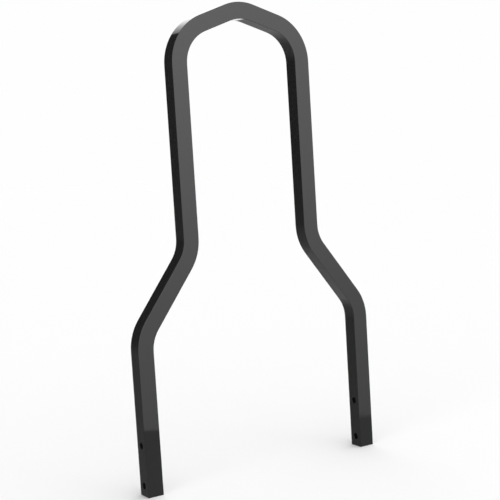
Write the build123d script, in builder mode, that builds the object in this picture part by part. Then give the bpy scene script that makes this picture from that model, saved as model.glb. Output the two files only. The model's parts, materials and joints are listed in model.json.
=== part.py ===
# Sissy bar: one square steel bar, bent seven times in one plane, with two cross-drilled holes in each foot.
# Millimetres. The origin is midway between the cut ends of the feet, +Z is up and the front faces -Y.
import os
from math import cos, radians, tan

from build123d import *

os.makedirs("parts", exist_ok=True)

# Bar stock
bar_width = 15.875  # 5/8 in square
edge_radius = 0.4  # corners of the stock
end_chamfer = 0.3  # filed edge of each cut end

# Bends
bend_inside_radius = 31.75  # 1 1/4 in former, used for every bend
flare_angle = 37.0  # lean of the flared lengths, from upright
roof_angle = 19.0  # slope of the top, from level

# Outline
overall_height = 454.0
foot_spread = 262.0  # over the outer faces of the feet
loop_width = 152.0  # over the outer faces of the uprights
foot_length = 149.0  # from the cut end to the corner of the first bend

# Bolt holes
hole_diameter = 6.4  # close fit for a 1/4 in bolt
hole_pitch = 38.0
hole_end_distance = 10.2  # from the cut end to the lower hole
hole_chamfer = 0.1
hole_radius = hole_diameter / 2

# Corners of the centreline, before they are rounded to the bend radius
bend_radius = bend_inside_radius + bar_width / 2
foot_x = (foot_spread - bar_width) / 2
upright_x = (loop_width - bar_width) / 2
waist_z = foot_length + (foot_x - upright_x) / tan(radians(flare_angle))
apex_z = overall_height - bar_width / 2 + bend_radius * (1 / cos(radians(roof_angle)) - 1)
shoulder_z = apex_z - upright_x * tan(radians(roof_angle))

left_corners = [(-foot_x, 0), (-foot_x, foot_length), (-upright_x, waist_z), (-upright_x, shoulder_z)]
right_corners = [(-x, z) for x, z in reversed(left_corners)]

with BuildPart() as sissy_bar:
    with BuildLine(Plane.XZ) as centreline:
        FilletPolyline(*left_corners, (0, apex_z), *right_corners, radius=bend_radius)

    # The square section starts on the left cut end and follows the bends over to the right one
    with BuildSketch(Plane(centreline.line @ 0, x_dir=(1, 0, 0), z_dir=centreline.line % 0)):
        RectangleRounded(bar_width, bar_width, edge_radius)
    sweep(path=centreline.line)

    cut_ends = sissy_bar.faces().group_by(Axis.Z)[0]
    chamfer(cut_ends.edges(), end_chamfer)

    # Each hole is drilled across its foot and deburred on both faces
    for foot in (-foot_x, foot_x):
        for side in (-1, 1):
            face_x = foot + side * bar_width / 2
            foot_face = Plane((face_x, 0, hole_end_distance), x_dir=(0, side, 0), z_dir=(side, 0, 0))
            with Locations(foot_face):
                with Locations((0, 0), (0, hole_pitch)):
                    CounterSinkHole(hole_radius, hole_radius + hole_chamfer, bar_width, counter_sink_angle=90)

sissy_bar.part.label = "sissy_bar"
export_step(sissy_bar.part, "parts/sissy_bar.step")
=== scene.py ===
import json
from math import cos, pi, radians, sin

import bmesh
import bpy
from mathutils import Matrix

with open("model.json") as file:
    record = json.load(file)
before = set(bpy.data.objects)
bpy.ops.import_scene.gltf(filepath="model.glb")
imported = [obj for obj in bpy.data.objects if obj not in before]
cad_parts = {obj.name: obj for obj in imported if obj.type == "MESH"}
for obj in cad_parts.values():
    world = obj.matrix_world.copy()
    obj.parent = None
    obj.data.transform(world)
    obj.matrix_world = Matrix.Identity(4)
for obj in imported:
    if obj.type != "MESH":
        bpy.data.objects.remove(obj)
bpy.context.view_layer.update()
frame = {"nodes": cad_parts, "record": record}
scene = bpy.context.scene
scene.view_settings.view_transform = "Standard"
print("frame loaded:", ", ".join(frame["nodes"]))


def addNode(tree, kind, place, **settings):
    node = tree.nodes.new(kind)
    node.location = place
    for name, value in settings.items():
        setattr(node, name, value)
    return node


def plug(tree, source, target):
    tree.links.new(source, target)


# Camera, out in front of the left foot and level with the loop
cameraView = {
    "place": (-0.58197, -0.94611, 0.32681),
    "bearing": 31.6014,  # degrees from +Y towards +X
    "tilt": -5.6339,  # degrees above level
    "roll": -3.5353,  # small lean of the photograph
    "lens": 82.762,  # mm, on the sensor below
    "sensor": 36.0,
    "clip": (0.05, 200),
}


def makeCamera(view):
    data = bpy.data.cameras.new("camera")
    data.lens = view["lens"]
    data.sensor_width = view["sensor"]
    data.sensor_fit = "HORIZONTAL"
    data.clip_start, data.clip_end = view["clip"]
    camera = bpy.data.objects.new("camera", data)
    scene.collection.objects.link(camera)
    heading = Matrix.Rotation(-radians(view["bearing"]), 4, "Z")
    rise = Matrix.Rotation(radians(90 + view["tilt"]), 4, "X")  # a new camera looks straight down
    lean = Matrix.Rotation(radians(view["roll"]), 4, "Z")
    camera.matrix_world = Matrix.Translation(view["place"]) @ heading @ rise @ lean
    scene.camera = camera


makeCamera(cameraView)
print("camera set")


# Studio as the coat mirrors it. All angles are in degrees.
# Levels are (elevation, light) stops, from -90 up to the ceiling's 90.
# A side's middle is a bearing from +Y towards +X. Its reach has (angle from there, share) stops, 0 to 180.
studio = {
    "ground": {
        "levels": [(-90, 1.2), (-72, 1.15), (-48, 0.715), (-30, 0.515), (-14, 0.315)],
    },
    "paleWall": {  # all round, where no other wall covers it
        "levels": [(-90, 1.5), (-4, 1.5), (-2, 0.975), (8, 0.975), (20, 2.1), (40, 2.1)],
    },
    "lampWall": {
        "levels": [(-90, 0.95), (-16, 0.95), (-8, 1.43), (0, 2.09), (10, 2.8), (30, 2.9)],
        "middle": 178,
        "reach": [(0, 1), (24, 1), (29, 0.87), (35, 0.615), (60, 0), (180, 0)],
    },
    "lampEdge": {
        "dim": 0.5,  # share of the lamp wall's light
        "middle": 178,
        "reach": [(0, 1), (45, 1), (70, 0), (180, 0)],
    },
    "darkWall": {
        "levels": [(-90, 1.2), (-72, 1.15), (-48, 0.715), (-30, 0.26), (-18, 0.225), (-14, 0.19),
                   (-9, 0.15), (-1, 0.057), (40, 0.04)],
        "middle": -50,
        "reach": [(0, 1), (46, 1), (48.5, 0.56), (66, 0), (180, 0)],
    },
    "duskCorner": {  # middle of the dark wall, lighter low down
        "levels": [(-90, 1.2), (-72, 1.15), (-48, 0.715), (-30, 0.31), (-18, 0.275), (-9, 0.187),
                   (-1, 0.057), (40, 0.04)],
        "middle": -50,
        "reach": [(0, 1), (14, 1), (24, 0), (180, 0)],
    },
    "ceiling": [(60, 0.55), (90, 0.55)],  # last stops of every side
    "wallFoot": {
        "edge": (-14.205, -14.145),  # elevations between which the ground gives way to the lit walls
    },
    "softFoot": {  # a blurred length of that edge
        "edge": (-14.23, -13.99),
        "middle": 140,
        "reach": [(0, 1), (6, 1), (11, 0), (180, 0)],
    },
}


def bearing(degrees):
    return (sin(radians(degrees)), cos(radians(degrees)), 0)


def stopRamp(tree, stops, place):
    ramp = addNode(tree, "ShaderNodeValToRGB", place)
    elements = ramp.color_ramp.elements  # a new ramp has the first and last stop
    lowest = stops[0][0]
    highest = stops[-1][0]
    for angle, _ in stops[1:-1]:
        elements.new((angle - lowest) / (highest - lowest))
    for element, (_, level) in zip(elements, stops):
        element.color = (level, level, level, 1)
    return ramp


def makeStudio(room):
    world = bpy.data.worlds.new("studio")
    scene.world = world
    world.use_nodes = True
    tree = world.node_tree
    tree.nodes.clear()
    coord = addNode(tree, "ShaderNodeTexCoord", (-1600, 0))
    split = addNode(tree, "ShaderNodeSeparateXYZ", (-1400, 200))
    plug(tree, coord.outputs["Generated"], split.inputs[0])
    rise = addNode(tree, "ShaderNodeMath", (-1200, 200), operation="ARCSINE")
    plug(tree, split.outputs["Z"], rise.inputs[0])
    height = addNode(tree, "ShaderNodeMapRange", (-1000, 200))  # straight down 0, straight up 1
    height.inputs["From Min"].default_value = -pi / 2
    height.inputs["From Max"].default_value = pi / 2
    plug(tree, rise.outputs[0], height.inputs["Value"])

    flat = addNode(tree, "ShaderNodeVectorMath", (-1400, -200), operation="MULTIPLY")
    flat.inputs[1].default_value = (1, 1, 0)
    plug(tree, coord.outputs["Generated"], flat.inputs[0])
    level = addNode(tree, "ShaderNodeVectorMath", (-1200, -200), operation="NORMALIZE")
    plug(tree, flat.outputs[0], level.inputs[0])

    def light(name, top, dim=1):
        stops = [(angle, dim * strength) for angle, strength in room[name]["levels"]]
        ramp = stopRamp(tree, stops + room["ceiling"], (-200, top))
        plug(tree, height.outputs[0], ramp.inputs[0])
        return ramp.outputs[0]

    def above(name, top):
        step = addNode(tree, "ShaderNodeMapRange", (-200, top))
        step.inputs["From Min"].default_value = radians(room[name]["edge"][0])
        step.inputs["From Max"].default_value = radians(room[name]["edge"][1])
        plug(tree, rise.outputs[0], step.inputs["Value"])
        return step.outputs[0]

    def share(name, top):
        side = room[name]
        along = addNode(tree, "ShaderNodeVectorMath", (-1000, top), operation="DOT_PRODUCT")
        along.inputs[1].default_value = bearing(side["middle"])
        plug(tree, level.outputs[0], along.inputs[0])
        turn = addNode(tree, "ShaderNodeMath", (-800, top), operation="ARCCOSINE")
        plug(tree, along.outputs["Value"], turn.inputs[0])
        away = addNode(tree, "ShaderNodeMath", (-600, top), operation="DIVIDE")
        away.inputs[1].default_value = pi
        plug(tree, turn.outputs[0], away.inputs[0])
        reach = stopRamp(tree, side["reach"], (-500, top))
        plug(tree, away.outputs[0], reach.inputs[0])
        return reach.outputs[0]

    def blend(factor, low, high, across):
        mix = addNode(tree, "ShaderNodeMix", (across, 0), data_type="RGBA")
        plug(tree, factor, mix.inputs["Factor"])
        plug(tree, low, mix.inputs["A"])
        plug(tree, high, mix.inputs["B"])
        return mix.outputs["Result"]

    lampEdge = light("lampWall", -200, room["lampEdge"]["dim"])
    walls = blend(share("lampEdge", -200), light("paleWall", 0), lampEdge, 100)
    walls = blend(share("lampWall", -400), walls, light("lampWall", -400), 250)
    foot = blend(share("softFoot", 800), above("wallFoot", 600), above("softFoot", 800), 100)
    lit = blend(foot, light("ground", 300), walls, 400)
    dark = blend(share("duskCorner", -800), light("darkWall", -600), light("duskCorner", -800), 250)
    whole = blend(share("darkWall", -600), lit, dark, 600)
    background = addNode(tree, "ShaderNodeBackground", (800, 0))
    plug(tree, whole, background.inputs["Color"])
    output = addNode(tree, "ShaderNodeOutputWorld", (1000, 0))
    plug(tree, background.outputs[0], output.inputs["Surface"])


makeStudio(studio)
print("studio lit")


# Floor of pale paper under a dome. Far from the bar both turn into one even white glow.
backdrop = {
    "halfWidth": 12.0,
    "domeRadius": 11.9,
    "domeSteps": (64, 32),  # around, and from pole to pole
    "slack": 0.01,  # metres that a corner of the dome's rim may lie below the floor
    "tone": (0.91, 0.91, 0.91, 1),
    "roughness": 0.9,
    "glow": (0.99, 0.99, 0.99, 1),
    "fade": (4.0, 9.0),  # metres from the bar where the glow begins and where it is full
}


def makePaper(sheet):
    material = bpy.data.materials.new("palePaper")
    material.use_nodes = True
    material.cycles.emission_sampling = "NONE"  # the glow is a backdrop, not a lamp
    tree = material.node_tree
    shader = tree.nodes["Principled BSDF"]
    shader.inputs["Roughness"].default_value = sheet["roughness"]
    shader.inputs["Specular IOR Level"].default_value = 0.0  # matt
    shader.inputs["Emission Strength"].default_value = 1.0
    coord = addNode(tree, "ShaderNodeTexCoord", (-1000, 0))
    away = addNode(tree, "ShaderNodeVectorMath", (-800, 0), operation="LENGTH")
    plug(tree, coord.outputs["Object"], away.inputs[0])
    fade = addNode(tree, "ShaderNodeMapRange", (-600, 0))
    fade.inputs["From Min"].default_value = sheet["fade"][0]
    fade.inputs["From Max"].default_value = sheet["fade"][1]
    plug(tree, away.outputs["Value"], fade.inputs["Value"])

    def fadeInto(socket, near, far, top):
        mix = addNode(tree, "ShaderNodeMix", (-300, top), data_type="RGBA")
        mix.inputs["A"].default_value = near
        mix.inputs["B"].default_value = far
        plug(tree, fade.outputs[0], mix.inputs["Factor"])
        plug(tree, mix.outputs["Result"], shader.inputs[socket])

    black = (0, 0, 0, 1)
    fadeInto("Base Color", sheet["tone"], black, 200)
    fadeInto("Emission Color", black, sheet["glow"], -100)
    return material


def makeFloor(sheet):
    half = sheet["halfWidth"]
    corners = [(-half, -half, 0), (half, -half, 0), (half, half, 0), (-half, half, 0)]
    mesh = bpy.data.meshes.new("floor")
    mesh.from_pydata(corners, [], [(0, 1, 2, 3)])
    return mesh


def makeDome(sheet):
    around, upright = sheet["domeSteps"]
    shape = bmesh.new()
    bmesh.ops.create_uvsphere(shape, u_segments=around, v_segments=upright, radius=sheet["domeRadius"])
    below = [corner for corner in shape.verts if corner.co.z < -sheet["slack"]]
    bmesh.ops.delete(shape, geom=below, context="VERTS")
    mesh = bpy.data.meshes.new("dome")
    shape.to_mesh(mesh)
    shape.free()
    return mesh


def setStage(mesh, material):
    mesh.materials.append(material)
    piece = bpy.data.objects.new(mesh.name, mesh)
    scene.collection.objects.link(piece)
    piece.visible_glossy = False  # the coat mirrors the studio walls
    return piece


paper = makePaper(backdrop)
setStage(makeFloor(backdrop), paper)
dome = setStage(makeDome(backdrop), paper)
dome.visible_diffuse = False  # only the camera sees the dome, so the studio lights the bar through it
dome.visible_shadow = False
print("floor and backdrop set")


# Gloss black powder coat, dull inside the bolt holes, where painted shade darkens its colour
blackCoat = {
    "tone": (0.0116, 0.0116, 0.0118, 1),
    "paleTone": (0.0132, 0.0132, 0.0134, 1),
    "patchScale": 30,  # patches of tone and gloss to a metre
    "patchDetail": 3,
    "patchSpan": (0.3, 0.7),  # noise values of the glossiest and the dullest patches
    "gloss": (0.01, 0.026),  # roughness of those patches
    "peelSize": 0.0022,  # metres from hump to hump
    "peelDetail": 1,
    "peelHeight": 0.0000015,
    # darker colour inside the bolt holes is painted shade of the recess
    "boreShadeTone": (0.006, 0.006, 0.006, 1),
    "boreDullness": 0.35,
    "boreReach": 0.00005,  # metres past the wall of a hole
}


# Mask of the bolt holes, which run along X and stand one above the other in each foot
def findBores(tree, coord, bolts, reach):
    mmPerMetre = 1000
    pitch = bolts["dims"]["spacing_y_mm"] / mmPerMetre
    radius = bolts["dims"]["hole_r_mm"] / mmPerMetre
    middle = bolts["pos_m"][2]
    flat = addNode(tree, "ShaderNodeVectorMath", (-900, 600), operation="MULTIPLY_ADD")
    flat.inputs[1].default_value = (0, 1, 1)
    flat.inputs[2].default_value = (0, 0, -middle)
    plug(tree, coord.outputs["Object"], flat.inputs[0])
    # Folded about the middle, the lower hole lies on the upper one
    folded = addNode(tree, "ShaderNodeVectorMath", (-750, 600), operation="ABSOLUTE")
    plug(tree, flat.outputs[0], folded.inputs[0])
    away = addNode(tree, "ShaderNodeVectorMath", (-600, 600), operation="DISTANCE")
    away.inputs[1].default_value = (0, 0, pitch / 2)
    plug(tree, folded.outputs[0], away.inputs[0])
    inside = addNode(tree, "ShaderNodeMath", (-450, 600), operation="LESS_THAN")
    inside.inputs[1].default_value = radius + reach
    plug(tree, away.outputs["Value"], inside.inputs[0])
    return inside.outputs[0]


def makeCoat(coat, bolts):
    material = bpy.data.materials.new("blackCoat")
    material.use_nodes = True
    tree = material.node_tree
    shader = tree.nodes["Principled BSDF"]
    coord = addNode(tree, "ShaderNodeTexCoord", (-1100, 0))
    bores = findBores(tree, coord, bolts, coat["boreReach"])
    patches = addNode(tree, "ShaderNodeTexNoise", (-800, 200))
    patches.inputs["Scale"].default_value = coat["patchScale"]
    patches.inputs["Detail"].default_value = coat["patchDetail"]
    plug(tree, coord.outputs["Object"], patches.inputs["Vector"])

    tone = addNode(tree, "ShaderNodeMix", (-400, 300), data_type="RGBA")
    tone.inputs["A"].default_value = coat["tone"]
    tone.inputs["B"].default_value = coat["paleTone"]
    plug(tree, patches.outputs[0], tone.inputs["Factor"])
    # Inside the bolt holes the coat's colour is darkened: painted shade
    shade = addNode(tree, "ShaderNodeMix", (-200, 300), data_type="RGBA")
    shade.inputs["B"].default_value = coat["boreShadeTone"]
    plug(tree, bores, shade.inputs["Factor"])
    plug(tree, tone.outputs["Result"], shade.inputs["A"])
    plug(tree, shade.outputs["Result"], shader.inputs["Base Color"])

    gloss = addNode(tree, "ShaderNodeMapRange", (-400, 0))
    gloss.inputs["From Min"].default_value = coat["patchSpan"][0]
    gloss.inputs["From Max"].default_value = coat["patchSpan"][1]
    gloss.inputs["To Min"].default_value = coat["gloss"][0]
    gloss.inputs["To Max"].default_value = coat["gloss"][1]
    plug(tree, patches.outputs[0], gloss.inputs["Value"])
    dull = addNode(tree, "ShaderNodeMix", (-200, 0))
    dull.inputs["B"].default_value = coat["boreDullness"]
    plug(tree, bores, dull.inputs["Factor"])
    plug(tree, gloss.outputs[0], dull.inputs["A"])
    plug(tree, dull.outputs["Result"], shader.inputs["Roughness"])

    peel = addNode(tree, "ShaderNodeTexNoise", (-800, -200))  # orange peel
    peel.inputs["Scale"].default_value = 1 / coat["peelSize"]
    peel.inputs["Detail"].default_value = coat["peelDetail"]
    plug(tree, coord.outputs["Object"], peel.inputs["Vector"])
    bump = addNode(tree, "ShaderNodeBump", (-400, -250))
    bump.inputs["Distance"].default_value = coat["peelHeight"]
    plug(tree, peel.outputs[0], bump.inputs["Height"])
    plug(tree, bump.outputs[0], shader.inputs["Normal"])
    return material


bar = frame["nodes"]["sissy_bar"]
footBolts = next(mount for mount in frame["record"]["mounts"] if mount["name"] == "left_foot_bolts")
bar.material_slots[0].material = makeCoat(blackCoat, footBolts)
print("bar coated")
